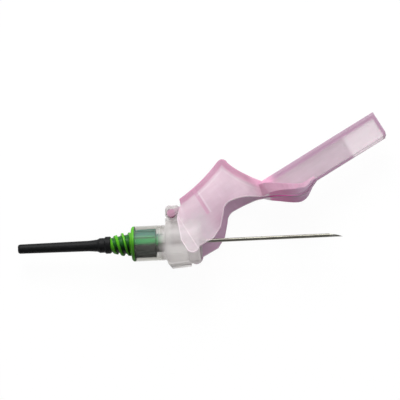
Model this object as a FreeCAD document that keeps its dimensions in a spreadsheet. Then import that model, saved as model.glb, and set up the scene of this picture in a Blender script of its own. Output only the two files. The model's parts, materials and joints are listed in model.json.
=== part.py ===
import FreeCAD
import Part
import Sketcher
import math
import os

# Safety blood collection needle: a double-ended steel cannula glued into a threaded hub, a rubber
# sleeve over its rear end, a collar pressed on the hub and a hinged shield that folds over the
# front end. Everything is drawn along the needle: X to the sharp tip, Z to the hinge side, Y
# across, with X = 0 on the rear face of the hub's flange. At the end the whole tool is laid on its
# side, as it comes to rest on a table.

Vector = FreeCAD.Vector
Rotation = FreeCAD.Rotation
Placement = FreeCAD.Placement

SIZES = (
    ("cannula_diameter", 0.82, "outside diameter of the steel tube, 21 gauge"),
    ("cannula_bore", 0.51, "inside diameter of the steel tube"),
    ("front_reach", 32.0, "tube in front of the collar, about one and a quarter inch"),
    ("tail_reach", 16.4, "tube behind the hub's nipple"),
    ("bevel_length", 3.1, "length of the main grind on the front tip"),
    ("lancet_length", 1.5, "length of the two side grinds that meet in the point"),
    ("lancet_turn", 38.0, "roll of each side grind about the tube, degrees"),
    ("tail_bevel_length", 1.4, "length of the grind on the rear tip"),
    ("flange_radius", 3.92, "hub flange, which seats on the tube holder"),
    ("flange_thickness", 0.75, "thickness of the hub flange"),
    ("thread_length", 4.7, "threaded part behind the flange"),
    ("thread_root_rear", 1.55, "root radius at the rear end of the thread"),
    ("thread_root_front", 2.2, "root radius beside the flange"),
    ("thread_crest_rear", 1.78, "crest radius at the rear end of the thread"),
    ("thread_crest_front", 2.65, "crest radius beside the flange"),
    ("thread_lead", 3.1, "advance of the two-start thread in one turn"),
    ("ridge_base", 1.15, "width of one thread ridge at the root"),
    ("ridge_crest", 0.3, "width of one thread ridge at the crest"),
    ("flange_fillet", 0.12, "cone that runs from the thread into the flange"),
    ("nipple_radius", 0.95, "spigot that carries the rubber sleeve"),
    ("nipple_length", 3.4, "length of the spigot"),
    ("barb_height", 0.16, "barb at the end of the spigot"),
    ("ribbed_length", 4.7, "hub in front of the flange, inside the collar"),
    ("ribbed_radius", 3.2, "radius over the ribs of that end"),
    ("rib_depth", 0.35, "height of one grip rib"),
    ("rib_width", 0.7, "width of one grip rib"),
    ("rib_count", 10, "grip ribs round the hub"),
    ("nose_length", 1.7, "plain nose in front of the ribs"),
    ("nose_radius", 2.1, "radius of the nose"),
    ("well_radius", 1.15, "mouth of the glue well in the nose"),
    ("well_depth", 1.5, "depth of the glue well in the nose"),
    ("rear_well_radius", 0.68, "mouth of the glue well in the nipple"),
    ("rear_well_depth", 0.8, "depth of the glue well in the nipple"),
    ("bead_height", 0.35, "glue standing proud of the front well"),
    ("sleeve_wall", 0.62, "wall of the rubber sleeve beside the tube"),
    ("sleeve_tip", 1.1, "solid rubber in front of the rear tip"),
    ("sleeve_mouth_radius", 1.92, "thick ring at the sleeve's open end"),
    ("sleeve_step_radius", 1.66, "second ring of the sleeve"),
    ("sleeve_ring_length", 1.3, "length of the thick ring"),
    ("sleeve_step_length", 1.2, "length of the second ring"),
    ("running_gap", 0.02, "clearance between pieces that are pushed together"),
    ("skirt_radius", 3.95, "rear skirt of the collar"),
    ("skirt_length", 7.05, "rear skirt from the flange to the shoulder"),
    ("cup_radius", 4.95, "front skirt of the collar"),
    ("cup_length", 7.65, "front skirt from the shoulder to its rim"),
    ("cup_wall", 0.8, "wall of the front skirt"),
    ("web_thickness", 0.9, "floor between the two skirts"),
    ("collar_grip", 0.03, "clearance between the hub's ribs and the rear skirt"),
    ("side_rib_height", 0.5, "rib along each side of the rear skirt"),
    ("side_rib_width", 1.9, "width of that rib"),
    ("side_rib_length", 2.2, "length of that rib, up to the shoulder"),
    ("dent_peak", 0.95, "lowest corner of a locking dent, from the shoulder"),
    ("dent_length", 5.2, "length of a locking dent"),
    ("dent_drop", 5.38, "depth of a locking dent under the needle"),
    ("dent_side", 4.72, "half width over the two locking dents"),
    ("pin_station", 1.37, "hinge axis in front of the collar's shoulder"),
    ("pin_height", 5.95, "hinge axis above the needle"),
    ("pin_radius", 0.88, "hanger bar of the shield"),
    ("pin_gap", 0.06, "clearance of the bar in its hooks"),
    ("hook_wall", 0.42, "hook behind the bar"),
    ("hook_top", 1.1, "hook above the bar"),
    ("hook_root", 0.95, "hook in front of the bar"),
    ("hook_span", 4.5, "width over the two hook arms"),
    ("hook_slot", 1.5, "slot between the two hook arms"),
    ("platform_width", 5.2, "flat pad under the hooks"),
    ("open_angle", 30.0, "shield lifted off the needle, as in the photograph"),
    ("guard_gap", 0.26, "clearance between the collar's cup and the guard's walls"),
    ("guard_wall", 0.75, "side walls of the guard"),
    ("roof_wall", 1.15, "thickness of the guard's two ramps"),
    ("guard_rear", 3.2, "rear edge of the first ramp, from the hinge axis"),
    ("guard_rear_height", 1.2, "top of that edge above the hinge axis"),
    ("peak_station", 15.0, "rear end of the ridge, from the hinge axis"),
    ("peak_length", 1.3, "length of the ridge"),
    ("peak_height", 4.1, "ridge above the hinge axis"),
    ("peak_width", 9.8, "width over the ridge"),
    ("waist_station", 20.95, "foot of the second ramp, where the channel starts"),
    ("lobe_depth", 10.4, "lower edge of the guard under the hinge axis"),
    ("arch_station", 10.1, "front edge of the lobes"),
    ("arch_height", 5.3, "top of the arch under the hinge axis"),
    ("lobe_flare", 0.75, "outward flare of each lobe at its rear edge"),
    ("crease_station", 0.9, "crease where the flare starts"),
    ("lobe_tail", 1.45, "rear edge of the lobes behind the hinge axis"),
    ("channel_length", 50.4, "front end of the channel, from the hinge axis"),
    ("channel_height", 6.0, "height of the channel"),
    ("channel_roof", 0.9, "roof of the channel"),
    ("channel_wall", 0.7, "side wall of the channel"),
    ("slot_width", 1.6, "slot that takes the needle"),
    ("roof_gap", 0.3, "clearance between the needle and the channel's roof"),
    ("end_wall", 0.8, "wall that closes the channel's front end"),
    ("thin_length", 8.3, "thinner part of the channel at its front end"),
    ("thin_wall", 0.45, "side wall of that part"),
    ("wing_span", 14.3, "width over the two wings"),
    ("wing_station", 26.0, "widest place of the wings, from the hinge axis"),
    ("wing_thickness", 1.15, "thickness of the wings at their tips"),
    ("stay_station", 6.65, "cross rib inside the guard, from the hinge axis"),
    ("stay_thickness", 0.7, "thickness of that rib"),
    ("stay_height", 0.45, "height of that rib above the wall"),
    ("stay_drop", 5.2, "lower end of that rib under the hinge axis"),
    ("arm_gap", 0.2, "clearance between a shield arm and the hooks"),
    ("arm_width", 0.95, "width of a shield arm"),
    ("barb_station", 1.1, "barb inside each lobe, from the hinge axis"),
    ("barb_drop", 9.2, "barb under the hinge axis"),
    ("barb_length", 1.5, "length of a barb"),
    ("barb_depth", 0.3, "height of a barb above the wall"),
    ("finger_station", 32.5, "needle lock in the slot, from the hinge axis"),
    ("finger_length", 3.0, "length of the needle lock"),
    ("finger_gap", 0.12, "clearance between the needle lock and the needle"),
    ("steel_density", 0.00785, "grams in a cubic millimetre"),
    ("plastic_density", 0.0011, "grams in a cubic millimetre"),
    ("rubber_density", 0.0012, "grams in a cubic millimetre"),
)

doc = FreeCAD.newDocument("safety_needle")
sheet = doc.addObject("Spreadsheet::Sheet", "Sizes")
for row, (alias, value, meaning) in enumerate(SIZES, start=1):
    sheet.set("A%d" % row, alias)
    sheet.set("B%d" % row, str(value))
    sheet.set("C%d" % row, meaning)
    sheet.setAlias("B%d" % row, alias)
doc.recompute()


def size(name):
    """Value of one driving dimension."""
    return float(sheet.evalExpression(name))


def spell(text):
    """Expression in which each alias is written with the sheet's name."""
    words = []
    word = ""
    for letter in text + " ":
        if letter.isalnum() or letter in "_.":
            word += letter
            continue
        words.append("Sizes." + word if word in ALIASES else word)
        words.append(letter)
        word = ""
    return "".join(words).strip()


ALIASES = {alias for alias, value, meaning in SIZES}


def work_out(text):
    """Number that an expression gives now."""
    return float(sheet.evalExpression(spell(text)))


def sketch_in(body, name, role):
    """Empty sketch on one of the body's own origin planes."""
    sketch = body.newObject("Sketcher::SketchObject", name)
    plane = next(item for item in body.Origin.OriginFeatures if item.Role == role)
    sketch.AttachmentSupport = (plane, "")
    sketch.MapMode = "FlatFace"
    return sketch


def pin_point(sketch, edge, point, across, up):
    """Tie one point of a sketch to two expressions of the sheet."""
    for kind, text in (("DistanceX", across), ("DistanceY", up)):
        index = sketch.addConstraint(Sketcher.Constraint(kind, -1, 1, edge, point, work_out(text)))
        sketch.setExpression("Constraints[%d]" % index, spell(text))


def draw_loop(sketch, corners):
    """Closed run of straight edges whose corners are expressions of the sheet."""
    points = [Vector(work_out(across), work_out(up), 0) for across, up in corners]
    first = sketch.GeometryCount
    count = len(points)
    for index in range(count):
        sketch.addGeometry(Part.LineSegment(points[index], points[(index + 1) % count]))
    for index, (across, up) in enumerate(corners):
        following = first + (index + 1) % count
        sketch.addConstraint(Sketcher.Constraint("Coincident", first + index, 2, following, 1))
        pin_point(sketch, first + index, 1, across, up)


def draw_circle(sketch, across, up, radius):
    """Circle whose centre and radius are expressions of the sheet."""
    centre = Vector(work_out(across), work_out(up), 0)
    edge = sketch.addGeometry(Part.Circle(centre, Vector(0, 0, 1), work_out(radius)))
    pin_point(sketch, edge, 3, across, up)
    index = sketch.addConstraint(Sketcher.Constraint("Radius", edge, work_out(radius)))
    sketch.setExpression("Constraints[%d]" % index, spell(radius))


def new_body(name):
    """Empty body of one piece."""
    body = doc.addObject("PartDesign::Body", name)
    body.Label = name
    return body


def turned(body, name, corners):
    """Solid of revolution about the needle's axis from a profile of (station, radius) corners."""
    sketch = sketch_in(body, name + "_profile", "XZ_Plane")
    draw_loop(sketch, corners)
    feature = body.newObject("PartDesign::Revolution", name)
    feature.Profile = sketch
    feature.ReferenceAxis = (sketch, ["H_Axis"])
    feature.Angle = 360
    doc.recompute()
    return feature


def side_feature(kind, body, name, loops, width):
    """Pad or pocket of side outlines, symmetric about the middle plane."""
    sketch = sketch_in(body, name + "_outline", "XZ_Plane")
    for loop in loops:
        if len(loop) == 3 and isinstance(loop[0], str):
            draw_circle(sketch, *loop)
        else:
            draw_loop(sketch, loop)
    feature = body.newObject(kind, name)
    feature.Profile = sketch
    feature.Midplane = True
    feature.setExpression("Length", spell(width))
    doc.recompute()
    return feature


def end_feature(body, name, loops, start, length):
    """Pad of outlines drawn across the needle, from one station forward."""
    sketch = sketch_in(body, name + "_outline", "YZ_Plane")
    sketch.setExpression("AttachmentOffset.Base.z", spell(start))
    doc.recompute()
    for loop in loops:
        draw_loop(sketch, loop)
    feature = body.newObject("PartDesign::Pad", name)
    feature.Profile = sketch
    feature.setExpression("Length", spell(length))
    doc.recompute()
    return feature


# Stations along the needle, as expressions of the sheet
THREAD_REAR = "(0 - thread_length)"
NIPPLE_END = "(0 - thread_length - nipple_length)"
HUB_SHOULDER = "(flange_thickness + ribbed_length)"
HUB_FRONT = "(flange_thickness + ribbed_length + nose_length)"
SHOULDER = "(flange_thickness + skirt_length)"
RIM = "(flange_thickness + skirt_length + cup_length)"
TAIL_END = "(0 - thread_length - nipple_length - tail_reach)"
TIP_END = "(flange_thickness + skirt_length + cup_length + front_reach)"
PIN_X = "(flange_thickness + skirt_length + pin_station)"
TUBE_RADIUS = "(cannula_diameter / 2)"
FIT_RADIUS = "(cannula_diameter / 2 + running_gap)"


def make_cannula():
    """Steel tube ground to a lancet point in front and to a plain bevel behind."""
    body = new_body("needle_cannula")
    turned(body, "tube", [
        (TAIL_END, "cannula_bore / 2"),
        (TIP_END, "cannula_bore / 2"),
        (TIP_END, TUBE_RADIUS),
        (TAIL_END, TUBE_RADIUS),
    ])
    over = "(cannula_diameter)"
    side_feature("PartDesign::Pocket", body, "bevel", [[
        (TIP_END, "0 - " + TUBE_RADIUS),
        (TIP_END + " + 1", "0 - " + TUBE_RADIUS),
        (TIP_END + " + 1", over),
        (TIP_END + " - bevel_length * 1.5", over),
    ]], "cannula_diameter * 2")
    side_feature("PartDesign::Pocket", body, "tail_bevel", [[
        (TAIL_END, "0 - " + TUBE_RADIUS),
        (TAIL_END + " + tail_bevel_length * 1.5", over),
        (TAIL_END + " - 1", over),
        (TAIL_END + " - 1", "0 - " + TUBE_RADIUS),
    ]], "cannula_diameter * 2")
    for name, turn in (("left_lancet", "lancet_turn"), ("right_lancet", "0 - lancet_turn")):
        feature = side_feature("PartDesign::Pocket", body, name, [[
            (TIP_END, "0 - " + TUBE_RADIUS),
            (TIP_END + " + 1", "0 - " + TUBE_RADIUS),
            (TIP_END + " + 1", over),
            (TIP_END + " - lancet_length * 1.5", over),
        ]], "cannula_diameter * 2")
        sketch = feature.Profile[0]
        sketch.AttachmentOffset = Placement(Vector(), Rotation(Vector(1, 0, 0), 1))
        sketch.setExpression("AttachmentOffset.Rotation.Angle", spell(turn))
        doc.recompute()
    return body


def make_hub():
    """Hub with the sleeve's nipple, the two-start thread, the flange and the ribbed end."""
    body = new_body("hub")
    barb = "(nipple_radius + barb_height)"
    turned(body, "hub_core", [
        (NIPPLE_END, "rear_well_radius"),
        (NIPPLE_END + " + rear_well_depth", FIT_RADIUS),
        (HUB_FRONT + " - well_depth", FIT_RADIUS),
        (HUB_FRONT, "well_radius"),
        (HUB_FRONT, "nose_radius - 0.25"),
        (HUB_FRONT + " - 0.25", "nose_radius"),
        (HUB_SHOULDER, "nose_radius"),
        (HUB_SHOULDER, "ribbed_radius - rib_depth"),
        ("flange_thickness", "ribbed_radius - rib_depth"),
        ("flange_thickness", "flange_radius"),
        ("0.3", "flange_radius"),
        ("0", "flange_radius - 0.35"),
        ("0", "thread_crest_front + flange_fillet"),
        ("0 - flange_fillet * 1.4", "thread_crest_front + 0.03"),
        ("0 - flange_fillet * 4", "thread_root_front + 0.08"),
        (THREAD_REAR, "thread_root_rear"),
        (THREAD_REAR, "nipple_radius"),
        (NIPPLE_END + " + 0.9", "nipple_radius"),
        (NIPPLE_END + " + 0.9", barb),
        (NIPPLE_END + " + 0.6", barb),
        (NIPPLE_END, "nipple_radius - 0.08"),
    ])
    for name, start in (("first_ridge", "0"), ("second_ridge", "thread_lead / 2")):
        middle = "(0 - thread_lead * 2 - 0.66 + " + start + ")"
        sketch = sketch_in(body, name + "_outline", "XZ_Plane")
        draw_loop(sketch, [
            (middle + " - ridge_base / 2", "thread_root_rear - 0.3"),
            (middle + " + ridge_base / 2", "thread_root_rear - 0.3"),
            (middle + " + ridge_crest / 2", "thread_crest_front + 0.1"),
            (middle + " - ridge_crest / 2", "thread_crest_front + 0.1"),
        ])
        ridge = body.newObject("PartDesign::AdditiveHelix", name)
        ridge.Profile = sketch
        ridge.ReferenceAxis = (sketch, ["H_Axis"])
        ridge.Mode = "pitch-height-angle"
        ridge.setExpression("Pitch", spell("thread_lead"))
        ridge.setExpression("Height", spell("thread_lead * 2 + 0.86 - " + start))
        doc.recompute()
    # The crests are turned down to a cone that runs out towards the nipple
    sketch = sketch_in(body, "crest_profile", "XZ_Plane")
    clear = "thread_crest_front + 2"
    draw_loop(sketch, [
        (THREAD_REAR + " - 4", "nipple_radius + barb_height + 0.02"),
        (THREAD_REAR, "nipple_radius + barb_height + 0.02"),
        (THREAD_REAR, "thread_crest_rear"),
        ("0 - thread_length * 0.47", "thread_crest_front - 0.08"),
        ("0 - flange_fillet * 1.4", "thread_crest_front"),
        ("0 - flange_fillet * 1.4", "thread_crest_front + 0.05"),
        ("0", "thread_crest_front + flange_fillet + 0.02"),
        ("0", clear),
        (THREAD_REAR + " - 4", clear),
    ])
    groove = body.newObject("PartDesign::Groove", "crest_turning")
    groove.Profile = sketch
    groove.ReferenceAxis = (sketch, ["H_Axis"])
    groove.Angle = 360
    doc.recompute()
    rib = end_feature(body, "grip_rib", [[
        ("0 - rib_width / 2", "nose_radius"),
        ("rib_width / 2", "nose_radius"),
        ("rib_width * 0.3", "ribbed_radius"),
        ("0 - rib_width * 0.3", "ribbed_radius"),
    ]], "(flange_thickness - 0.1)", "ribbed_length + 0.1")
    ribs = body.newObject("PartDesign::PolarPattern", "grip_ribs")
    ribs.Originals = [rib]
    axis = next(item for item in body.Origin.OriginFeatures if item.Role == "X_Axis")
    ribs.Axis = (axis, [""])
    ribs.Angle = 360
    ribs.setExpression("Occurrences", spell("rib_count"))
    body.Tip = ribs
    doc.recompute()
    return body


def make_glue():
    """Glue beads that hold the tube in the two wells of the hub."""
    front = new_body("front_adhesive")
    turned(front, "front_bead", [
        (HUB_FRONT + " - well_depth + 0.1", TUBE_RADIUS),
        (HUB_FRONT + " + bead_height", TUBE_RADIUS),
        (HUB_FRONT + " + bead_height * 0.6", TUBE_RADIUS + " + well_radius * 0.25"),
        (HUB_FRONT + " + 0.02", "well_radius - 0.06"),
        (HUB_FRONT + " - 0.02", "well_radius - 0.06"),
        (HUB_FRONT + " - well_depth + 0.1", TUBE_RADIUS + " + running_gap"),
    ])
    rear = new_body("rear_adhesive")
    turned(rear, "rear_bead", [
        (NIPPLE_END, TUBE_RADIUS),
        (NIPPLE_END + " + rear_well_depth - 0.1", TUBE_RADIUS),
        (NIPPLE_END + " + rear_well_depth - 0.1", TUBE_RADIUS + " + running_gap"),
        (NIPPLE_END, "rear_well_radius - 0.03"),
    ])
    return front, rear


def make_sleeve():
    """Closed rubber sleeve pushed over the nipple, with two rings at its open end."""
    body = new_body("rubber_sleeve")
    outer = "(cannula_diameter / 2 + 0.1 + sleeve_wall)"
    tip = "(0 - thread_length - nipple_length - tail_reach - sleeve_tip)"
    ring = "(0 - thread_length - sleeve_ring_length)"
    step = "(0 - thread_length - sleeve_ring_length - sleeve_step_length)"
    neck = "(nipple_radius + running_gap)"
    pocket = "(nipple_radius + barb_height + running_gap)"
    turned(body, "sleeve_shell", [
        (tip, "0"),
        (TAIL_END + " - 0.1", "0"),
        (TAIL_END + " - 0.1", "cannula_diameter / 2 + 0.1"),
        (NIPPLE_END + " - 0.9", "cannula_diameter / 2 + 0.1"),
        (NIPPLE_END + " - 0.1", pocket),
        (NIPPLE_END + " + 0.92", pocket),
        (NIPPLE_END + " + 0.92 + barb_height", neck),
        (THREAD_REAR, neck),
        (THREAD_REAR, "sleeve_mouth_radius - 0.15"),
        (THREAD_REAR + " - 0.15", "sleeve_mouth_radius"),
        (ring + " + 0.15", "sleeve_mouth_radius"),
        (ring, "sleeve_mouth_radius - 0.15"),
        (ring + " - 0.1", "sleeve_step_radius"),
        (step, "sleeve_step_radius"),
        (step + " - 0.35", "sleeve_step_radius - 0.2"),
        (NIPPLE_END + " + 0.3", "sleeve_step_radius - 0.3"),
        (NIPPLE_END + " - 1.6", outer + " + 0.06"),
        (tip + " + 0.45", outer + " - 0.08"),
        (tip + " + 0.13", outer + " - 0.2"),
        (tip, outer + " - 0.42"),
    ])
    return body


def make_collar():
    """Collar: two skirts joined at a shoulder, hooks for the hanger bar and locking dents."""
    body = new_body("collar")
    bore = "(ribbed_radius + collar_grip)"
    web_front = "(flange_thickness + skirt_length + web_thickness)"
    turned(body, "skirts", [
        ("flange_thickness", bore),
        (SHOULDER, bore),
        (SHOULDER, "nose_radius + 0.25"),
        (web_front, "nose_radius + 0.25"),
        (web_front, "cup_radius - cup_wall"),
        (RIM + " - 0.3", "cup_radius - cup_wall"),
        (RIM, "cup_radius - cup_wall + 0.2"),
        (RIM, "cup_radius - 0.35"),
        (RIM + " - 0.35", "cup_radius"),
        (SHOULDER + " + 0.12", "cup_radius"),
        (SHOULDER, "cup_radius - 0.12"),
        (SHOULDER, "skirt_radius"),
        ("flange_thickness", "skirt_radius"),
    ])
    side = []
    for sign in ("", "0 - "):
        side.append([
            (sign + "(skirt_radius - 0.4)", "0 - side_rib_width / 2"),
            (sign + "(skirt_radius + side_rib_height)", "0 - side_rib_width / 2 + 0.25"),
            (sign + "(skirt_radius + side_rib_height)", "side_rib_width / 2 - 0.25"),
            (sign + "(skirt_radius - 0.4)", "side_rib_width / 2"),
        ])
    end_feature(body, "side_ribs", side, SHOULDER + " - side_rib_length", "side_rib_length + 0.2")
    # Locking dents: blocks on the two lower flanks, then cut to a steep rear and a long ramp
    dents = []
    middle = "(cup_radius - cup_wall / 2)"
    for sign in ("", "0 - "):
        dents.append([
            (sign + "dent_side", "0 - 1.45"),
            (sign + "(dent_side - 0.15)", "0 - dent_drop * 0.66"),
            (sign + "(dent_side - 1.4)", "0 - dent_drop"),
            (sign + "(dent_side - 3)", "0 - dent_drop"),
            (sign + "(dent_side - 3)", "0 - sqrt(" + middle + "^2 - (dent_side - 3)^2)"),
            (sign + "(" + middle + " * 0.7)", "0 - " + middle + " * 0.7"),
            (sign + "sqrt(" + middle + "^2 - 1.45^2)", "0 - 1.45"),
        ])
    end_feature(body, "locking_dents", dents, SHOULDER, "dent_length")
    peak = "(flange_thickness + skirt_length + dent_peak)"
    side_feature("PartDesign::Pocket", body, "dent_ramps", [[
        (SHOULDER + " - 0.5", "0 - cup_radius * 0.7"),
        (peak, "0 - dent_drop"),
        (SHOULDER + " + dent_length + 0.1", "0 - dent_drop * 0.92"),
        (SHOULDER + " + dent_length + 0.1", "0 - dent_drop - 1"),
        (SHOULDER + " - 0.5", "0 - dent_drop - 1"),
    ]], "dent_side * 2 + 1")
    # Flat pad and hooks for the hanger bar
    bar_bore = "(pin_radius + pin_gap)"
    pad_top = "(pin_height - pin_radius - pin_gap)"
    hook_rear = "(" + PIN_X + " - pin_radius - pin_gap - hook_wall)"
    hook_front = "(" + PIN_X + " + pin_radius + pin_gap + hook_root)"
    hook_crown = "(pin_height + pin_radius + pin_gap + hook_top)"
    wall_middle = "(cup_radius - cup_wall * 0.6)"
    pad_foot = "sqrt(" + wall_middle + "^2 - (platform_width / 2)^2)"
    end_feature(body, "platform", [[
        ("0 - platform_width / 2", pad_foot),
        ("0", wall_middle),
        ("platform_width / 2", pad_foot),
        ("platform_width / 2 - 0.1", pad_top),
        ("0.1 - platform_width / 2", pad_top),
    ]], SHOULDER, hook_front + " - " + SHOULDER)
    side_feature("PartDesign::Pad", body, "hook_block", [[
        (hook_rear, pad_top + " - 0.2"),
        (hook_front, pad_top + " - 0.2"),
        (hook_front, hook_crown + " - 0.5"),
        (hook_front + " - 0.5", hook_crown),
        (hook_rear + " + 0.75", hook_crown),
        (hook_rear + " + 0.2", hook_crown + " - 0.35"),
        (hook_rear, hook_crown + " - 0.9"),
    ]], "hook_span")
    side_feature("PartDesign::Pocket", body, "bar_seat", [
        (PIN_X, "pin_height", bar_bore),
    ], "hook_span + 2")
    # The mouth of the hooks opens downwards and to the rear
    side_feature("PartDesign::Pocket", body, "hook_mouth", [[
        (hook_rear + " - 0.5", "pin_height - 0.25"),
        (PIN_X + " - pin_radius * 0.75", "pin_height - 0.1"),
        (PIN_X, "pin_height - 0.1"),
        (PIN_X, pad_top),
        (hook_rear + " - 0.5", pad_top),
    ]], "hook_span + 2")
    side_feature("PartDesign::Pocket", body, "hook_parting", [[
        (hook_rear + " - 0.5", pad_top),
        (hook_front + " - 0.35", pad_top),
        (hook_front + " - 0.35", hook_crown + " + 0.5"),
        (hook_rear + " - 0.5", hook_crown + " + 0.5"),
    ]], "hook_slot")
    return body


def ring_through(first, second, third):
    """Centre and radius of the circle through three points of the side view."""
    circle = Part.Arc(first, second, third).toShape().Curve
    return circle.Center, circle.Radius


def side_face(start, *moves):
    """Face in the middle plane from (forward, up) points: a move of two numbers is a straight
    edge, a move of four is an arc through its first point to its second."""
    first = Vector(start[0], 0, start[1])
    here = first
    edges = []
    for move in moves:
        end = Vector(move[-2], 0, move[-1])
        if len(move) == 2:
            edges.append(Part.LineSegment(here, end).toShape())
        else:
            edges.append(Part.Arc(here, Vector(move[0], 0, move[1]), end).toShape())
        here = end
    edges.append(Part.LineSegment(here, first).toShape())
    return Part.Face(Part.Wire(edges))


def bent(start, corner, end):
    """Arc move that rounds a corner between two points."""
    middle = [(start[i] + 2 * corner[i] + end[i]) / 4 for i in (0, 1)]
    return (middle[0], middle[1], end[0], end[1])


def point_on(ring, forward, depth=0):
    """Point at one station on a ramp's circle, or at a depth under it."""
    centre, radius = ring
    return (forward, centre.z - math.sqrt((radius + depth) ** 2 - (forward - centre.x) ** 2))


def thick(face, half):
    """Prism of a side face, symmetric about the middle plane."""
    solid = face.extrude(Vector(0, 2 * half, 0))
    solid.translate(Vector(0, -half, 0))
    return solid


def finer(rows, parts):
    """The same run of cross sections at closer stations, with a cubic through each column."""
    last = len(rows) - 1

    def slope(column, index):
        before = rows[max(index - 1, 0)]
        after = rows[min(index + 1, last)]
        return (after[column] - before[column]) / (after[0] - before[0])

    found = []
    for index in range(last):
        start = rows[index]
        end = rows[index + 1]
        span = end[0] - start[0]
        for part in range(parts):
            along = part / parts
            row = [start[0] + span * along]
            for column in range(1, len(start)):
                leave = slope(column, index) * span
                reach = slope(column, index + 1) * span
                rise = end[column] - start[column]
                square = (3 * rise - 2 * leave - reach) * along ** 2
                cube = (leave + reach - 2 * rise) * along ** 3
                row.append(start[column] + leave * along + square + cube)
            found.append(row)
    return found + [list(rows[last])]


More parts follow.
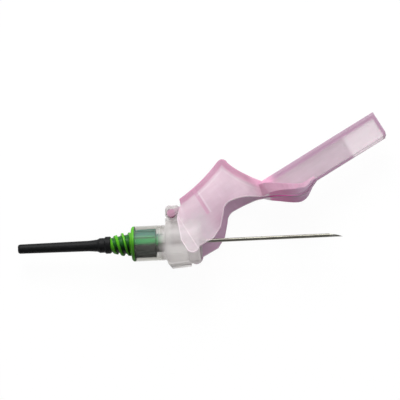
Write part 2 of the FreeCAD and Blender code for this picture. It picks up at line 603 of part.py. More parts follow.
def make_shield():
    """Shield, one moulding: guard, channel, wings, arms and hanger bar, about its hinge axis."""
    needle_z = -size("pin_height")
    tube = size("cannula_diameter") / 2
    inner_half = size("cup_radius") + size("guard_gap")
    wall = size("guard_wall")
    roof = size("roof_wall")
    outer_half = inner_half + wall
    slot_half = size("slot_width") / 2
    channel_half = slot_half + size("channel_wall")
    channel_top = needle_z + tube + size("roof_gap") + size("channel_roof")
    channel_foot = channel_top - size("channel_height")
    crease = size("crease_station")
    waist = size("waist_station")
    peak = size("peak_station")
    peak_half = size("peak_width") / 2
    peak_top = size("peak_height")
    arch = size("arch_station")
    arch_top = -size("arch_height")
    lobe_foot = -size("lobe_depth")
    rear = size("guard_rear")
    rear_top = size("guard_rear_height")
    ridge_front = peak + size("peak_length")
    ramp_run = waist - ridge_front
    ramp_drop = peak_top - channel_top

    # Cross sections of the guard: station, half width and height at the top edge of the wall, then
    # half width and height at its lower edge
    sections = (
        (crease, outer_half - 0.28, rear_top, outer_half + 0.18, lobe_foot),
        (arch * 0.6, outer_half - 0.36, rear_top + 0.6, outer_half + 0.18, lobe_foot + 0.5),
        (arch + 1.0, (outer_half + peak_half) / 2 - 0.1, peak_top - 1.4, outer_half + 0.05, arch_top - 0.5),
        (peak - 1.2, peak_half + 0.12, peak_top - 0.3, outer_half - 0.5, arch_top),
        (ridge_front, peak_half, peak_top - 0.7, channel_half + 2.5, arch_top - 0.9),
        (ridge_front + ramp_run * 0.3, peak_half - 0.12, peak_top - ramp_drop * 0.42,
         channel_half + 1.0, arch_top - 1.5),
        (ridge_front + ramp_run * 0.56, peak_half - 0.65, peak_top - ramp_drop * 0.72,
         channel_half + 0.2, arch_top - 1.9),
        (ridge_front + ramp_run * 0.8, peak_half - 1.75, peak_top - ramp_drop * 0.9,
         channel_half + 0.1, arch_top - 2.3),
        (waist, channel_half + 0.85, channel_top, channel_half, arch_top - 2.7),
    )
    floor = lobe_foot - 3

    def hull(inset, drop):
        rows = finer(sections, 3)
        deep = floor
        if inset:
            rows = [[crease - 3] + rows[0][1:]] + rows + [[waist + 1.5] + rows[-1][1:]]
            deep = floor - 1
        wires = []
        for station, top_half, top_z, low_half, low_z in rows:
            top_in = max(top_half - inset, slot_half)
            low_in = max(low_half - inset, slot_half)
            half = [(low_in, deep), (low_in, low_z), (top_in, top_z), (top_in, peak_top - drop)]
            right = [Vector(station, y, z) for y, z in half]
            left = [Vector(station, -y, z) for y, z in reversed(half)]
            wires.append(Part.makePolygon(right + left + right[:1]))
        return Part.makeLoft(wires, True, True)

    # The two ramps are hollowed by large cylinders that lie across the guard
    first_ramp = ring_through(
        Vector(rear, 0, rear_top),
        Vector((rear + peak) / 2, 0, (rear_top + peak_top) / 2 - 0.55),
        Vector(peak, 0, peak_top))
    second_ramp = ring_through(
        Vector(ridge_front, 0, peak_top - 0.1),
        Vector(ridge_front + ramp_run * 0.38, 0, peak_top - ramp_drop * 0.56),
        Vector(waist, 0, channel_top))

    def cavity(inset, depth):
        open_rear = crease - 3
        open_front = waist + 1.5
        before = point_on(first_ramp, peak - 0.2, depth)
        after = point_on(second_ramp, ridge_front + 0.3 - depth, depth)
        under = side_face(
            (open_rear, floor - 1),
            point_on(first_ramp, open_rear, depth),
            point_on(first_ramp, (open_rear + peak) / 2, depth) + before,
            bent(before, ((before[0] + after[0]) / 2, peak_top - depth), after),
            point_on(second_ramp, waist - 2, depth) + point_on(second_ramp, open_front, depth),
            (open_front, floor - 1))
        return hull(inset, depth).common(thick(under, outer_half + 1))

    inside = cavity(wall, roof)
    guard = hull(0, 0).cut(inside)

    # Flared lobes behind the crease, which carry the walls back past the collar
    tail = -size("lobe_tail")
    flare = size("lobe_flare")
    top_y = outer_half - 0.28
    low_y = outer_half + 0.18
    lobes = []
    for sign in (1, -1):
        wires = []
        for station, out in ((crease, 0), (tail, flare)):
            quad = [(top_y + out, rear_top), (low_y + out, lobe_foot - 1),
                    (low_y + out - wall, lobe_foot - 1), (top_y + out - wall, rear_top)]
            ring = [Vector(station, sign * y, z) for y, z in quad]
            wires.append(Part.makePolygon(ring + ring[:1]))
        lobes.append(Part.makeLoft(wires, True, True))
    guard = guard.fuse(lobes)

    # Side view: ramps and rounded ridge on top, lobes at the rear, arch between them and the waist
    behind = point_on(first_ramp, peak - 0.8)
    rear_crest = (peak + 0.45, peak_top)
    front_crest = (ridge_front - 0.5, peak_top)
    beyond = point_on(second_ramp, ridge_front + 0.35)
    side_view = side_face(
        (rear, rear_top),
        point_on(first_ramp, (rear + peak) / 2) + behind,
        bent(behind, (peak, peak_top), rear_crest),
        front_crest,
        bent(front_crest, (ridge_front + 0.1, peak_top), beyond),
        point_on(second_ramp, waist - 2.2) + (waist, channel_top),
        (waist + 0.05, arch_top - 2.75),
        (waist - 2.0, arch_top - 1.85),
        (waist - 4.5, arch_top - 0.75, arch + 2.8, arch_top),
        (arch + 1.0, arch_top - 0.3, arch, arch_top - 1.3),
        (arch - 2.4, lobe_foot + 1.15),
        (arch - 4.9, lobe_foot - 0.12),
        (crease + 0.4, lobe_foot),
        (tail + 0.9, lobe_foot - 0.6, tail, lobe_foot + 0.5),
        (tail, -7.2),
        (crease - 0.6, -2.6),
        (crease, -1.7),
        (rear - 0.45, rear_top - 1.27))
    guard = guard.common(thick(side_view, outer_half + flare + 2))

    # Channel with its slot, end wall and chamfered front corner
    length = size("channel_length")
    wing_x = size("wing_station")
    channel = thick(side_face(
        (waist - 1.6, channel_top),
        (length, channel_top),
        (length, channel_foot + 0.65),
        (length - 0.65, channel_foot),
        (wing_x + 0.4, channel_foot),
        (waist - 1.6, arch_top - 1.95)), channel_half)
    slot_roof = channel_top - size("channel_roof")
    slot = Part.makeBox(length - size("end_wall") - waist + 3, 2 * slot_half, 20)
    slot.translate(Vector(waist - 3, -slot_half, slot_roof - 20))
    thin = Part.makeBox(size("thin_length"), 2 * (channel_half - size("thin_wall")), 20)
    thin_start = length - size("end_wall") - size("thin_length")
    thin.translate(Vector(thin_start, size("thin_wall") - channel_half, slot_roof - 20))

    # Wings: thin blades that leave the channel's walls at the waist and guide the needle in
    span = size("wing_span") / 2
    blade = size("wing_thickness")
    stations = (
        (waist - 1.4, channel_half + 0.15, channel_top - 0.3, arch_top - 2.15),
        (waist - 0.2, channel_half + 2.2, channel_top - 0.9, arch_top - 2.75),
        ((waist * 2 + wing_x) / 3, span - 1.5, channel_top - 2.4, arch_top - 3.7),
        ((waist + wing_x * 2) / 3, span - 0.35, channel_top - 3.95, arch_top - 4.75),
        (wing_x, span, arch_top - 5.75 + blade * 1.35, arch_top - 5.75),
        (wing_x + 1.3, span - 0.55, arch_top - 6.15 + blade, arch_top - 6.15),
        (wing_x + 2.6, span - 2.6, arch_top - 6.2 + blade, arch_top - 6.2),
        (wing_x + 4.2, channel_half + 1.7, channel_foot + 0.35, arch_top - 5.4),
        (wing_x + 5.8, channel_half, channel_foot + 0.6, channel_foot),
    )
    wings = []
    for sign in (1, -1):
        wires = []
        for station, reach, top, low in finer(stations, 2):
            quad = [(slot_half, top + 0.35), (reach, top), (reach, low), (slot_half, low + 0.1)]
            ring = [Vector(station, sign * y, z) for y, z in quad]
            wires.append(Part.makePolygon(ring + ring[:1]))
        wings.append(Part.makeLoft(wires, True, True))
    body = guard.fuse([channel] + wings).cut(slot).cut(thin)

    # Cross rib inside the guard, just in front of the collar's rim when the shield is shut
    stay_x = size("stay_station")
    proud = size("stay_height")
    section = min(finer(sections, 3), key=lambda row: abs(row[0] - stay_x))

    def wall_at(height):
        rise = (height - section[4]) / (section[2] - section[4])
        return section[3] + (section[1] - section[3]) * rise

    stay_foot = -size("stay_drop")
    stay_roof = point_on(first_ramp, stay_x, roof)[1]
    half = (
        (wall_at(stay_foot) - wall / 2, stay_foot),
        (wall_at(stay_roof) - wall / 2, stay_roof + roof / 2),
        (wall_at(stay_roof) - wall - proud, stay_roof - proud),
        (wall_at(stay_foot) - wall - proud, stay_foot),
    )
    left_leg = [Vector(stay_x, -y, z) for y, z in half]
    right_leg = [Vector(stay_x, y, z) for y, z in half]
    arch_ring = left_leg[:2] + right_leg[1::-1] + right_leg[:1:-1] + left_leg[2:]
    stay = Part.Face(Part.makePolygon(arch_ring + arch_ring[:1]))
    stay = stay.extrude(Vector(size("stay_thickness"), 0, 0))

    # Hanger bar between two arms that hang from the first ramp beside the hooks
    arm_in = size("hook_span") / 2 + size("arm_gap")
    arm_out = arm_in + size("arm_width")
    bar = Part.makeCylinder(size("pin_radius"), 2 * arm_out, Vector(0, -arm_out, 0), Vector(0, 1, 0))
    under = rear_top - roof
    strap = thick(side_face(
        (0, size("pin_radius")),
        (rear - 0.3, under + 0.07),
        (rear + 0.9, under + 0.4),
        (rear + 1.3, under - 0.8),
        (0, -size("pin_radius"))), arm_out)
    gap = Part.makeBox(20, 2 * arm_in, 20, Vector(-10, -arm_in, -10))
    arms = strap.cut(gap)

    # Barbs inside the lobes, and the needle lock inside the slot
    barbs = []
    for sign in (1, -1):
        depth = size("barb_depth")
        long = size("barb_length")
        wires = []
        for station, out in ((size("barb_station") - long / 2, depth), (size("barb_station") + long / 2, 0.05)):
            low = -size("barb_drop") - 0.5
            top = -size("barb_drop") + 0.5
            wall_y = inner_half + 0.18
            quad = [(wall_y + 0.3, top), (wall_y - out, top - 0.2), (wall_y - out, low + 0.2), (wall_y + 0.3, low)]
            ring = [Vector(station, sign * y, z) for y, z in quad]
            wires.append(Part.makePolygon(ring + ring[:1]))
        barbs.append(Part.makeLoft(wires, True, True))
    lock_x = size("finger_station")
    lock_end = tube + size("finger_gap")
    ring = [Vector(lock_x, y, z) for y, z in (
        (slot_half + 0.1, needle_z - 1.0),
        (lock_end, needle_z - 0.7),
        (lock_end, needle_z - 0.45),
        (slot_half + 0.1, needle_z - 0.2),
    )]
    lock = Part.Face(Part.makePolygon(ring + ring[:1])).extrude(Vector(size("finger_length"), 0, 0))
    body = body.fuse([stay, bar, arms, lock] + barbs)

    feature = doc.addObject("Part::Feature", "safety_shield")
    feature.Label = "safety_shield"
    feature.Shape = body.Solids[0] if len(body.Solids) == 1 else body
    return feature


cannula = make_cannula()
hub = make_hub()
front_glue, rear_glue = make_glue()
sleeve = make_sleeve()
collar = make_collar()
shield = make_shield()

# The shield hangs on its bar, lifted off the needle
hinge_point = Vector(work_out(PIN_X), 0, size("pin_height"))
lift = Placement(hinge_point, Rotation(Vector(0, 1, 0), -size("open_angle")))

WEIGHTS = (
    (cannula, Placement(), "steel_density"),
    (hub, Placement(), "plastic_density"),
    (front_glue, Placement(), "plastic_density"),
    (rear_glue, Placement(), "plastic_density"),
    (sleeve, Placement(), "rubber_density"),
    (collar, Placement(), "plastic_density"),
    (shield, lift, "plastic_density"),
)


def centre_and_points():
    """Centre of mass and surface points of the whole tool, along the needle's axes."""
    total = 0
    moment = Vector()
    points = []
    for piece, place, density in WEIGHTS:
        shape = piece.Shape.copy()
        shape.transformShape(place.toMatrix(), True)
        weight = shape.Volume * size(density)
        centre = shape.Solids[0].CenterOfMass
        total += weight
        moment += centre * weight
        points += shape.tessellate(0.02)[0]
    return moment * (1 / total), points, total


def outermost(points, down, spread, steps):
    """Points that lie furthest out in directions round one direction."""
    side = down.cross(Vector(0, 0, 1)).normalize()
    other = down.cross(side)
    plain = [(point.x, point.y, point.z) for point in points]
    found = set()
    for i in range(-steps, steps + 1):
        for j in range(-steps, steps + 1):
            aim = down + side * (spread * i / steps) + other * (spread * j / steps)
            x, y, z = aim.x, aim.y, aim.z
            found.add(max(plain, key=lambda point: point[0] * x + point[1] * y + point[2] * z))
    return [Vector(*point) for point in sorted(found)]


def resting_face(points, centre):
    """Outward normal and three points of the plane on which the tool rests, far side down."""
    down = Vector(0, 1, 0)
    near = outermost(points, down, 0.4, 7)
    faces = []
    for i in range(len(near)):
        for j in range(i + 1, len(near)):
            for k in range(j + 1, len(near)):
                normal = (near[j] - near[i]).cross(near[k] - near[i])
                if normal.Length < 0.5:
                    continue
                normal.normalize()
                if normal.y < 0:
                    normal = -normal
                level = near[i].dot(normal) + 0.0005
                if normal.y > 0.8 and all(point.dot(normal) <= level for point in near):
                    faces.append((normal, near[i], near[j], near[k]))
    # The weight settles over one face after another until its foot lies inside the three points
    for attempt in range(8):
        reached = None
        for normal, one, two, three in faces:
            reach = (one - centre).dot(normal) / down.dot(normal)
            foot = centre + down * reach
            turns = [(b - a).cross(foot - a).dot(normal) for a, b in ((one, two), (two, three), (three, one))]
            if min(turns) * max(turns) >= 0 and (reached is None or reach < reached[0]):
                reached = (reach, normal, (one, two, three))
        if reached is None:
            raise RuntimeError("no face to rest on")
        settled = reached[1].getAngle(down) < 0.0005
        down = reached[1]
        if settled:
            break
    return reached[1], reached[2]


centre, points, weight = centre_and_points()
normal, feet = resting_face(points, centre)
# Laid on its far side: the needle points along X, the hinge side towards Y, the floor below
level = Rotation(normal, Vector(0, 0, -1))
needle_line = level.multVec(Vector(1, 0, 0))
turn = Rotation(Vector(0, 0, 1), -math.degrees(math.atan2(needle_line.y, needle_line.x)))
lay = turn.multiply(level)
laid = [lay.multVec(point) for point in points]
low = Vector(min(p.x for p in laid), min(p.y for p in laid), min(p.z for p in laid))
high = Vector(max(p.x for p in laid), max(p.y for p in laid), max(p.z for p in laid))
shift = Vector(-(low.x + high.x) / 2, -(low.y + high.y) / 2, -low.z)
rest = Placement(shift, lay)
for piece, place, density in WEIGHTS:
    piece.Placement = rest.multiply(place)
doc.recompute()

for item in doc.Objects:
    if "Invalid" in item.State or "Error" in item.State:
        raise RuntimeError("%s did not build: %s" % (item.Name, item.State))
for piece, place, density in WEIGHTS:
    shape = piece.Shape
    if shape.isNull() or not shape.isValid() or len(shape.Solids) != 1:
        raise RuntimeError("%s has no sound solid" % piece.Label)

os.makedirs("parts", exist_ok=True)
for piece, place, density in WEIGHTS:
    piece.Shape.exportStep("parts/%s.step" % piece.Label)
    print(piece.Label, "volume %.2f mm3" % piece.Shape.Volume)
print("weight %.3f g" % weight, "size", high - low)
print("needle axis at rest:", lay.multVec(Vector(1, 0, 0)), "across:", lay.multVec(Vector(0, 1, 0)))
print("hinge at rest:", rest.multVec(hinge_point), "along", lay.multVec(Vector(0, -1, 0)))
print("flange centre at rest:", rest.multVec(Vector()))
for foot in feet:
    print("stands on", foot)
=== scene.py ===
# %% [markdown]
# # Safety blood collection needle
#
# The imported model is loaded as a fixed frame. It lies on a table on its far side, and the camera
# looks straight down on it. The solids carry the shapes; this script gives them their materials,
# the soft edges of moulded plastic, and a plain studio round them.

# %% Frame
import bpy
import json
import math
from mathutils import Matrix, Vector

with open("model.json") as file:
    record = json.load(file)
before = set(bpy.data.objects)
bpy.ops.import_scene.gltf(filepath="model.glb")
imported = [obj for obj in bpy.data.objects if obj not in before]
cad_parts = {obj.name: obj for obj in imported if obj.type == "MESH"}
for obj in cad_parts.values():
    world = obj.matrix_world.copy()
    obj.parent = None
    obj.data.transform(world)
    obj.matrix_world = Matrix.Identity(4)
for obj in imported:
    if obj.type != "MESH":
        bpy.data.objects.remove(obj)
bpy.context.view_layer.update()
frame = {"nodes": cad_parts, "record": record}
nodes = frame["nodes"]
record = frame["record"]

# %% [markdown]
# ## Directions of the needle
#
# The record says where the needle's axis and the hinge are. From these come the needle's own
# directions: along it to the tip, across it, and up to the hinge side. The shield has the same
# three, turned by the 30 degrees that it is lifted.

# %% Directions
mounts = {mount["name"]: mount for mount in record["mounts"]}
hinge = record["behaviour"]["joints"][0]
along = -Vector(mounts["flange_seat"]["axis"])
across = -Vector(hinge["axis"])
upward = along.cross(across)
flange = Vector(mounts["holder_thread"]["pos_m"]) + along * 0.00235
pin = Vector(hinge["pos_m"])
lift = math.radians(30)
shield_along = along * math.cos(lift) + upward * math.sin(lift)
shield_up = upward * math.cos(lift) - along * math.sin(lift)


def tool_point(x, y, z):
    """Point in the row frame from millimetres along, across and above the needle."""
    return flange + (along * x + across * y + upward * z) * 0.001


print("needle along", along, "pin", pin)

# %% [markdown]
# ## Writing materials
#
# A material is a tree of nodes, which could be drawn by hand in the Shader Editor. Here a Wire
# stands for one output of a node, and sums, products and the like of wires make Math nodes, so a
# material reads as a formula and can be changed like one.

# %% Wires
class Wire:
    """One output of a node, with arithmetic."""

    def __init__(self, paint, socket):
        self.paint = paint
        self.socket = socket

    def math(self, operation, *others):
        values = {index + 1: other for index, other in enumerate(others)}
        values[0] = self
        return self.paint.add("ShaderNodeMath", {"operation": operation}, values)

    def __add__(self, other):
        return self.math("ADD", other)

    def __mul__(self, other):
        return self.math("MULTIPLY", other)

    def __sub__(self, other):
        return self.math("SUBTRACT", other)

    def __pow__(self, other):
        return self.math("POWER", other)

    def __rsub__(self, other):
        return self * -1 + other

    __radd__ = __add__
    __rmul__ = __mul__

    def dot(self, direction):
        """Component of a vector wire along a fixed direction."""
        return self.paint.add("ShaderNodeVectorMath", {"operation": "DOT_PRODUCT"},
                              {0: self, 1: tuple(direction)}, "Value")

    def step(self, low, high):
        """Smooth rise from 0 at low to 1 at high."""
        return self.paint.add("ShaderNodeMapRange", {"interpolation_type": "SMOOTHSTEP"},
                              {"Value": self, "From Min": low, "From Max": high})

    def within(self, rise_from, rise_to, fall_from, fall_to):
        """1 between two places, with a smooth rise and a smooth fall."""
        return self.step(rise_from, rise_to) * (1 - self.step(fall_from, fall_to))

    def size(self):
        """The same number without its sign."""
        return self.math("ABSOLUTE")

    def at_most_one(self):
        return self.math("MINIMUM", 1.0)


print("wires ready")

# %% [markdown]
# A Paint holds one material and adds any other node to it: its settings first, then its values and
# links. It also knows the few things that these plastics share: places in millimetres, noise, the
# way a surface faces, how thick the wall is, and soft moulded edges.

# %% Paints
class Paint:
    """The nodes of one material, or of the room."""

    def __init__(self, owner, result="ShaderNodeOutputMaterial"):
        owner.use_nodes = True
        self.owner = owner
        self.tree = owner.node_tree
        self.tree.nodes.clear()
        self.result = self.tree.nodes.new(result)

    def add(self, kind, settings=None, values=None, output=0):
        node = self.tree.nodes.new(kind)
        for name, value in (settings or {}).items():
            setattr(node, name, value)
        for name, value in (values or {}).items():
            if isinstance(value, Wire):
                self.link(value, node.inputs[name])
            else:
                node.inputs[name].default_value = value
        return Wire(self, node.outputs[output])

    def link(self, wire, socket):
        self.tree.links.new(wire.socket, socket)

    def place(self, origin=flange, axes=(along, across, upward)):
        """Millimetres along three directions from an origin, as three wires."""
        point = self.add("ShaderNodeTexCoord", {}, {}, "Object")
        shifted = self.add("ShaderNodeVectorMath", {"operation": "SUBTRACT"}, {0: point, 1: tuple(origin)})
        return [shifted.dot(axis * 1000) for axis in axes]

    def vector(self, x, y, z):
        return self.add("ShaderNodeCombineXYZ", {}, {"X": x, "Y": y, "Z": z})

    def noise(self, where, scale, detail=3.0, roughness=0.5):
        return self.add("ShaderNodeTexNoise", {}, {
            "Vector": where, "Scale": scale, "Detail": detail, "Roughness": roughness})

    def mix(self, factor, first, second):
        """Colour between two colours."""
        return self.add("ShaderNodeMix", {"data_type": "RGBA"}, {0: factor, 6: first, 7: second}, 2)

    def facing(self, direction):
        """How far the surface faces one direction, from -1 to 1."""
        return self.add("ShaderNodeTexCoord", {}, {}, "Normal").dot(direction)

    def depth(self, reach):
        """Open way inside the plastic: low in thin walls, high where it is thicker than reach."""
        return self.add("ShaderNodeAmbientOcclusion", {"inside": True, "only_local": True, "samples": 12},
                        {"Distance": reach * 0.001}, "AO")

    def soft_edge(self, radius):
        """Normal that rolls over the edges, as a mould leaves them."""
        return self.add("ShaderNodeBevel", {"samples": 6}, {"Radius": radius * 0.001})

    def bump(self, height, strength, distance, normal=None):
        values = {"Height": height, "Strength": strength, "Distance": distance}
        if normal:
            values["Normal"] = normal
        return self.add("ShaderNodeBump", {}, values)

    def surface(self, **values):
        named = {name.replace("_", " "): value for name, value in values.items()}
        shader = self.add("ShaderNodeBsdfPrincipled", {}, named)
        self.link(shader, self.result.inputs["Surface"])
        print(self.owner.name, "made of", len(self.tree.nodes), "nodes")

    def volume(self, tint, density):
        """Plastic that takes light away with its thickness, by a density in each metre."""
        shader = self.add("ShaderNodeVolumeAbsorption", {}, {"Color": tint, "Density": density})
        self.link(shader, self.result.inputs["Volume"])


def material(name):
    return Paint(bpy.data.materials.new(name))


def colour(red, green, blue):
    """Colour as seen on a screen, 0 to 255, turned into linear light."""
    def linear(part):
        part = part / 255
        return part / 12.92 if part <= 0.04045 else ((part + 0.055) / 1.055) ** 2.4
    return (linear(red), linear(green), linear(blue), 1.0)


print("paint box ready")

# %% [markdown]
# ## Steel
#
# The tube is drawn steel: fine marks run along it, and the ground face at the sharp tip is
# brighter, with marks across it. A picture of scratches could be wrapped round it, but noise that is
# stretched along the tube has no seam and stays sharp at any distance.

# %% Steel
steel = material("drawn_steel")
x, y, z = steel.place()
grain = steel.noise(steel.vector(x * 0.25, y * 9, z * 9), 2.2, 4)
ground = x.step(44.2, 44.9)
marks = steel.noise(steel.vector(x * 14, y * 0.6, z * 0.6), 1.5, 2)
shade = steel.mix(grain, colour(104, 103, 95), colour(140, 138, 128))
steel.surface(
    Base_Color=steel.mix(ground, shade, colour(150, 149, 144)),
    Metallic=0.9,
    Roughness=grain * 0.12 + ground * 0.05 + 0.24,
    Normal=steel.bump(grain * (1 - ground) + marks * ground, 0.12, 0.00002))

# %% [markdown]
# ## Rubber
#
# The sleeve is black rubber with a powdery bloom and soft ripples along its length. A low specular
# level keeps it black under the large lamps, and the bloom changes its roughness as well as its
# shade, so that the highlight breaks up as it does on rubber.

# %% Rubber
rubber = material("black_rubber")
x, y, z = rubber.place()
bloom = rubber.noise(rubber.vector(x * 0.7, y, z), 0.9, 5, 0.6)
speck = rubber.noise(rubber.vector(x, y, z), 7.0, 2)
rubber.surface(
    Base_Color=rubber.mix(bloom.step(0.35, 0.75), colour(7, 8, 9), colour(18, 19, 21)),
    Roughness=bloom * 0.2 + 0.42,
    Specular_IOR_Level=0.14,
    Normal=rubber.bump(bloom * 0.7 + speck * 0.3, 0.25, 0.00005))

# %% [markdown]
# ## Green hub
#
# The hub is a glossy translucent green. Where it is thin, on the ridges and the flange, light
# comes through and it is lime; near the core it is deep. Real transmission through so small a
# thread needs many samples, so the distance from the core, which tapers as the thread does, picks
# the colour instead. Its upper side is painted lit and its lower side painted in shade, and under
# the collar a bright band of light and the dark shade below it are painted by height.

# %% Green hub
green = material("green_hub")
x, y, z = green.place()
radius = (y * y + z * z) ** 0.5
flow = green.noise(green.vector(x, y, z), 0.8, 3)
inner = x.step(0.6, 0.9)
thread_rear, thread_front = -4.7, -0.4
root_rear, root_front = 1.55, 2.2
root = x.step(thread_rear, thread_front) * (root_front - root_rear) + root_rear
thin = (radius - root).step(0.06, 0.34) * (1 - inner)
# Painted light and shade: the upper side is painted lighter and the lower side darker.
lit_side_painted = z.step(-1.4, 0.6)
deep = green.mix(flow, colour(16, 74, 22), colour(30, 106, 34))
shade_green_painted = green.mix(flow, colour(4, 18, 8), colour(10, 30, 14))
lime = green.mix(flow, colour(70, 150, 18), colour(88, 168, 26))
# Under the collar, a painted bright band of light with painted shade below it, set by height.
height = z + flow * 0.6
light_band_painted = green.mix(height.step(-0.9, 0.3), colour(0, 30, 22), colour(0, 172, 84))
light_band_painted = green.mix(height.step(0.7, 1.8), light_band_painted, colour(26, 122, 104))
tone = green.mix(thin * (lit_side_painted * 0.5 + 0.5), green.mix(lit_side_painted, shade_green_painted, deep), lime)
green.surface(
    Base_Color=green.mix(inner, tone, light_band_painted),
    Roughness=flow * 0.12 + 0.3,
    Specular_IOR_Level=0.16,
    Subsurface_Weight=0.1,
    Subsurface_Radius=(0.3, 1.0, 0.2),
    Subsurface_Scale=0.0005,
    Normal=green.bump(flow, 0.08, 0.00006, green.soft_edge(0.12)))

# %% [markdown]
# ## Glue
#
# The tube is held by clear cured beads, slightly yellow, in the wells at both ends of the hub. They
# let some light through and have the slow ripple of a drop that has set.

# %% Glue
glue = material("clear_glue")
x, y, z = glue.place()
ripple = glue.noise(glue.vector(x, y, z), 1.6, 2)
glue.surface(
    Base_Color=glue.mix(ripple, colour(222, 214, 180), colour(240, 236, 214)),
    Roughness=ripple * 0.1 + 0.1,
    Transmission_Weight=0.4,
    Alpha=0.8,
    Normal=glue.bump(ripple, 0.2, 0.0001))

# %% [markdown]
# ## Cloudy collar
#
# Natural polypropylene: milky, so that what is behind the wall shows as a soft shape. The haze is
# in the surface's alpha, and the grey comes from the thickness of the wall. The rear skirt lies
# tight on the hub, which shows through it more clearly than anything through the cup. Milky
# plastic leads light round to its lower side, which alpha alone can't do, so the cup's lower side
# gives off a faint light.

# %% Cloudy collar
cloudy = material("natural_plastic")
x, y, z = cloudy.place()
haze = cloudy.noise(cloudy.vector(x * 0.6, y, z), 0.7, 4)
fine = cloudy.noise(cloudy.vector(x, y, z), 6.0, 2)
cup = x.step(5.6, 7.9)
solid = cloudy.depth(1.2).step(0.4, 0.75)
down = (cloudy.facing(upward) * -1).step(-0.2, 0.9) * cup
skirt_milk = cloudy.mix(haze, colour(158, 156, 146), colour(174, 172, 162))
cup_milk = cloudy.mix(haze, colour(166, 160, 161), colour(184, 178, 180))
milk = cloudy.mix(cup, skirt_milk, cup_milk)
cloudy.surface(
    Base_Color=cloudy.mix(solid, milk, colour(214, 211, 210)),
    Roughness=fine * 0.15 + 0.28,
    Specular_IOR_Level=0.4,
    Alpha=haze * 0.1 + cup * 0.42 + solid * 0.05 + 0.02,
    Subsurface_Weight=0.7,
    Subsurface_Radius=(1.0, 1.0, 1.0),
    Subsurface_Scale=0.002,
    Emission_Color=cloudy.mix(down, colour(0, 0, 0), colour(150, 145, 146)),
    Emission_Strength=1.0,
    Normal=cloudy.bump(fine, 0.1, 0.00003, cloudy.soft_edge(0.25)))
cloudy.volume(colour(190, 188, 178), 360.0)

# %% [markdown]
# ## Pink shield: places
#
# Translucent pink. A thin wall is pale, and a thick place is saturated, because the light that
# comes back out of it has gone further. So the first step is to find the places: where a point
# lies along, across and above the hinge, and how deep it lies under the two concave ramps. Each
# ramp is an arc through three points of the side view, so the depth is a distance from its centre.

# %% Shield places
pink = material("pink_plastic")
x, y, z = pink.place(pin, (shield_along, across, shield_up))
guard_rear, first_middle, peak_rear = (3.2, 1.2), (9.1, 2.1), (15.0, 4.1)
peak_front, second_middle, waist_foot = (16.3, 4.0), (18.067, -0.626), (20.95, -4.34)
channel_top = waist_foot[1]


def under_curve(first, middle, last):
    """Depth under the concave ramp that runs through three points of the side view."""
    (ax, az), (bx, bz), (cx, cz) = first, middle, last
    twice = 2 * (ax * (bz - cz) + bx * (cz - az) + cx * (az - bz))
    a, b, c = ax * ax + az * az, bx * bx + bz * bz, cx * cx + cz * cz
    centre_x = (a * (bz - cz) + b * (cz - az) + c * (az - bz)) / twice
    centre_z = (a * (cx - bx) + b * (ax - cx) + c * (bx - ax)) / twice
    radius = math.hypot(ax - centre_x, az - centre_z)
    dx, dz = x - centre_x, z - centre_z
    return (dx * dx + dz * dz) ** 0.5 - radius


width = y.size()
channel = x.step(20.6, 21.2)
guard = 1 - channel
blade = channel * width.step(1.55, 1.8)
front = x.step(40.9, 42.1)
far_side = y.step(-0.2, 0.2)
first_ramp = under_curve(guard_rear, first_middle, peak_rear)
second_ramp = under_curve(peak_front, second_middle, waist_foot)
guard_depth = first_ramp.math("MINIMUM", second_ramp)
depth = guard_depth * guard + (channel_top - z) * channel
print("shield turned about", pin)

# %% [markdown]
# ## Pink shield: thick and thin
#
# The ramps, the channel's roof and end, the cross rib and the bar are thick. The lower edges of
# the guard get a painted highlight, and so do the rib's root, the crease of the lobes and the inner
# corner under the ramps. The inside of the wall on which the tool lies gets painted shade. A mask is
# 1 at its place and 0 elsewhere.

# %% Shield masks
sideways = pink.facing(across)
rise = pink.facing(shield_up)
flank = sideways.size().step(0.4, 0.8)
inward = (sideways * y.math("SIGN") * -1).step(0.2, 0.7)
# Painted shade on the inner face of the wall on which the tool lies.
far_wall_shade = inward * far_side
rib_drop = z.step(-5.4, -5.0)
band = (1 - depth.step(1.0, 1.7)).math("MAXIMUM", x.step(49.4, 49.8))
band = band * (1 - blade) * sideways.size().step(0.1, 0.4)
# Painted highlight along the convex edges of the guard's sides.
edge_highlight = (1 - pink.depth(0.4)).step(0.18, 0.4) * flank * guard * (1 - band)
rib = x.within(6.45, 6.7, 7.3, 7.5) * rib_drop
# Painted highlight at the rib's root.
glint = x.within(7.35, 7.55, 7.7, 7.9) * rib_drop
# Painted highlight along the inner corner under the ramps.
corner_highlight = depth.within(1.6, 1.8, 2.0, 2.2) * x.step(6.5, 7.5) * guard
# Painted highlight along the crease of the lobes.
crease_highlight = x.within(0.65, 0.85, 0.95, 1.15) * (1 - z.step(-2.2, -1.6))
roof = rise.step(0.3, 0.7).math("MAXIMUM", (1 - guard_depth.step(0.2, 0.5)) * guard)
# Faces that look down, among them the guard's lower edges, which get a painted highlight.
rim = (rise * -1).step(0.15, 0.5) * (1 - sideways.size().step(0.5, 0.8))
bar = 1 - ((x * x + z * z) ** 0.5).step(0.9, 1.0)
arm = (1 - x.step(2.8, 3.3)) * z.step(-1.2, -0.8) * (1 - width.step(3.6, 3.8))
lobe = (1 - x.step(4.0, 8.5)) * (1 - z.step(-5.5, -2.0)) * (1 - y.step(-0.4, 0.4))
waist = x.within(17.8, 20.4, 22.0, 25.0) * (1 - rise.step(0.1, 0.4))
# Wing undersides and the inside of the far wall: deep plastic and painted shade.
under = (blade * (rim + far_wall_shade) + channel * far_wall_shade * (1 - x.step(24.0, 28.0))).at_most_one()
print("shield masks made")
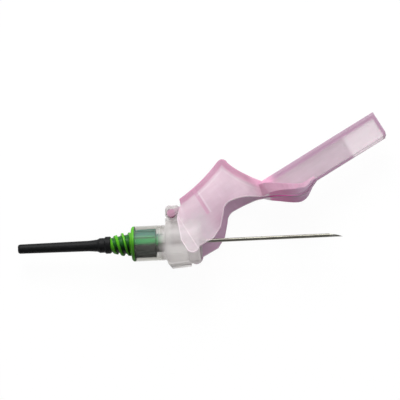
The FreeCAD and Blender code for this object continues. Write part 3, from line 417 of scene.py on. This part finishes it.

# %% [markdown]
# ## Pink shield: colours
#
# Each colour is laid over the one before, from the wide wall to the small bar. The undersides of
# the wings are the deepest, partly from the thick plastic and partly from painted shade, and the
# thin front end is nearly clear. Painted highlights, painted shade on the inside of the far wall and
# a band painted lighter on the second ramp are among them.

# %% Shield colours
# Colour of the painted highlights at the rib's root, the crease and the inner corner.
highlight_colour = colour(246, 234, 241)
haze = pink.noise(pink.vector(x * 0.35, y, z), 0.55, 4)
high = pink.mix(haze, colour(220, 196, 208), colour(232, 212, 222))
low = pink.mix(haze, colour(178, 148, 164), colour(194, 166, 181))
trough = pink.mix(haze, colour(190, 174, 182), colour(204, 190, 197))
# The band is painted lighter towards the second ramp, to make up for the shade on it.
ramp = pink.mix(x.step(15.0, 18.5), colour(182, 128, 156), colour(214, 158, 184))
thick_tone_painted_light = pink.mix(channel, ramp, colour(172, 138, 161))
# Down-facing faces: a painted highlight on the guard, a deeper mauve on the channel.
rim_highlight_and_edge = pink.mix(channel, colour(246, 232, 241), colour(190, 162, 181))
# Deep magenta of the wing undersides, partly painted shade.
underside_tone_and_shade = pink.mix(x.step(23.0, 28.5), colour(196, 92, 154), colour(188, 144, 180))
tone = pink.mix(guard_depth.step(1.5, 10.0), high, low)
for mask, over in (
        (lobe * 0.8, colour(238, 229, 233)),
        (rib * 0.7, colour(196, 146, 172)),
        ((glint + crease_highlight + corner_highlight) * 0.3, highlight_colour),
        (channel, trough),
        (front, colour(218, 206, 212)),
        # Painted shade on the inside of the far wall.
        (far_wall_shade * (1 - front), colour(163, 118, 151)),
        ((band + roof).at_most_one(), thick_tone_painted_light),
        (waist * (1 - far_wall_shade) * 0.85, colour(224, 168, 196)),
        # Painted highlight along the guard's edges.
        (edge_highlight * (1 - far_wall_shade) * 0.55, colour(240, 222, 233)),
        (rim, rim_highlight_and_edge),
        (blade, colour(232, 188, 211)),
        (under, underside_tone_and_shade),
        (arm, colour(188, 162, 175)),
        (bar, colour(180, 134, 157))):
    tone = pink.mix(mask, tone, over)
print("shield colours laid")

# %% [markdown]
# ## Pink shield: surface
#
# The alpha says how much of what is behind is hidden: more at the thick places, less in the lobe,
# where the collar shows through. The light that goes in is taken by the volume.

# %% Shield surface
fine = pink.noise(pink.vector(x, y, z), 5.0, 2)
more = band * 0.3 + edge_highlight * 0.25 + rib * 0.1 + far_wall_shade * 0.5 + crease_highlight * 0.08 + bar * 0.3
more = more + under * 0.35 + waist * 0.2 + roof * 0.15
less = inward * 0.3 + lobe * 0.22 + arm * 0.15
pink.surface(
    Base_Color=tone,
    Roughness=fine * 0.14 + 0.28,
    Specular_IOR_Level=0.4,
    Alpha=haze * 0.1 + 0.44 + more - less,
    Subsurface_Weight=0.2,
    Subsurface_Radius=(1.0, 0.6, 0.8),
    Subsurface_Scale=0.0004,
    Normal=pink.bump(fine * 0.5 + haze * 0.5, 0.1, 0.00005, pink.soft_edge(0.25)))
pink.volume(colour(208, 150, 186), 80.0)

# %% [markdown]
# ## Dressing the solids
#
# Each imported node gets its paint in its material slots. Its mesh stays as it was packed: the soft
# edges of the mouldings come from the Bevel node in their paints.

# %% Dress the solids
dress = {
    "needle_cannula": steel,
    "hub": green,
    "front_adhesive": glue,
    "rear_adhesive": glue,
    "rubber_sleeve": rubber,
    "collar": cloudy,
    "safety_shield": pink,
}
for name, paint in dress.items():
    piece = nodes[name]
    if not piece.data.materials:
        piece.data.materials.append(paint.owner)
    for index in range(len(piece.material_slots)):
        piece.material_slots[index].material = paint.owner
    print(name, "faces", len(piece.data.polygons))

# %% [markdown]
# ## Studio
#
# A pale table, a soft key light from the top of the picture and a plain bright room. The camera
# and mirror rays see white, while the light on the object stays at a plain level.

# %% Table
table = material("pale_table")
point = table.add("ShaderNodeTexCoord", {}, {}, "Object")
fleck = table.noise(point, 40.0, 3)
sheet = table.add("ShaderNodeBsdfDiffuse", {}, {
    "Color": table.mix(fleck, colour(244, 244, 244), colour(250, 250, 250))})
glow = table.add("ShaderNodeEmission", {}, {"Color": (1, 1, 1, 1), "Strength": 1.0})
rays = [table.add("ShaderNodeLightPath", {}, {}, name) for name in (
    "Is Camera Ray", "Is Transmission Ray")]
seen = (rays[0] + rays[1]).at_most_one() * 0.95
table.link(table.add("ShaderNodeMixShader", {}, {0: seen, 1: sheet, 2: glow}), table.result.inputs["Surface"])

mesh = bpy.data.meshes.new("table")
half = 1.5
corners = [(-half, -half, 0), (half, -half, 0), (half, half, 0), (-half, half, 0)]
mesh.from_pydata(corners, [], [(0, 1, 2, 3)])
mesh.materials.append(table.owner)
table_top = bpy.data.objects.new("table", mesh)
table_top.location.z = -0.00005
bpy.context.scene.collection.objects.link(table_top)
print("table", 2 * half, "m wide")

# %% [markdown]
# ## Room and lamps
#
# The room is brighter on the side that the needle's upper side faces. A large key lamp stands there
# too, and a weaker one fills in from the tip's side.

# %% Room
room = Paint(bpy.data.worlds.new("studio"), "ShaderNodeOutputWorld")
bpy.context.scene.world = room.owner
slope = room.add("ShaderNodeTexCoord", {}, {}, "Generated").dot(upward)
strength = room.add("ShaderNodeMapRange", {}, {
    "Value": slope, "From Min": -0.9, "From Max": 0.9, "To Min": 0.12, "To Max": 0.85})
soft_light = room.add("ShaderNodeBackground", {}, {"Color": (1, 1, 1, 1), "Strength": strength})
white = room.add("ShaderNodeBackground", {}, {"Color": (1, 1, 1, 1), "Strength": 1.0})
camera_ray = room.add("ShaderNodeLightPath", {}, {}, "Is Camera Ray")
transmission_ray = room.add("ShaderNodeLightPath", {}, {}, "Is Transmission Ray")
looks_through = camera_ray.math("MAXIMUM", transmission_ray)
room.link(
    room.add("ShaderNodeMixShader", {}, {0: looks_through, 1: soft_light, 2: white}),
    room.result.inputs["Surface"])


def area_light(name, place, target, size, power):
    """Soft square lamp that looks at a point."""
    lamp = bpy.data.lights.new(name, "AREA")
    lamp.size = size
    lamp.energy = power
    holder = bpy.data.objects.new(name, lamp)
    holder.location = place
    holder.rotation_euler = (target - place).to_track_quat("-Z", "Y").to_euler()
    bpy.context.scene.collection.objects.link(holder)
    print(name, "lamp", power, "W")


middle = tool_point(15, 0, 5)
area_light("key", middle + Vector((-0.12, 0.5, 0.42)), middle, 0.35, 4.0)
area_light("fill", middle + Vector((0.3, -0.1, 0.6)), middle, 0.5, 1.2)

# %% [markdown]
# ## Camera
#
# The picture is nearly free of perspective, so the camera stands far off with a long lens. The
# picture's right and top are given by their shares of the needle's three directions, and its scale
# by the pixels in a millimetre.

# %% Camera
right = (along * 0.9964 + across * 0.0796 - upward * 0.0293).normalized()
top = (along * 0.0454 - across * 0.2092 + upward * 0.9768).normalized()
back = right.cross(top).normalized()
top = back.cross(right)
lens = bpy.data.cameras.new("camera")
camera = bpy.data.objects.new("camera", lens)
distance = 2.0
film = 36
picture_pixels = 400
pixels_in_millimetre = 4.4665
wide = picture_pixels / pixels_in_millimetre * 0.001
lens.sensor_width = film
lens.sensor_fit = "HORIZONTAL"
lens.lens = film * distance / wide
lens.clip_start = 0.01
lens.clip_end = 10
place = tool_point(15.555, 0, 9.38) + back * distance
turn = Matrix((right, top, back)).transposed().to_4x4()
camera.matrix_world = Matrix.Translation(place) @ turn
bpy.context.scene.collection.objects.link(camera)
bpy.context.scene.camera = camera
bpy.context.scene.view_settings.view_transform = "Standard"
print("camera looks along", -back, "up", top)
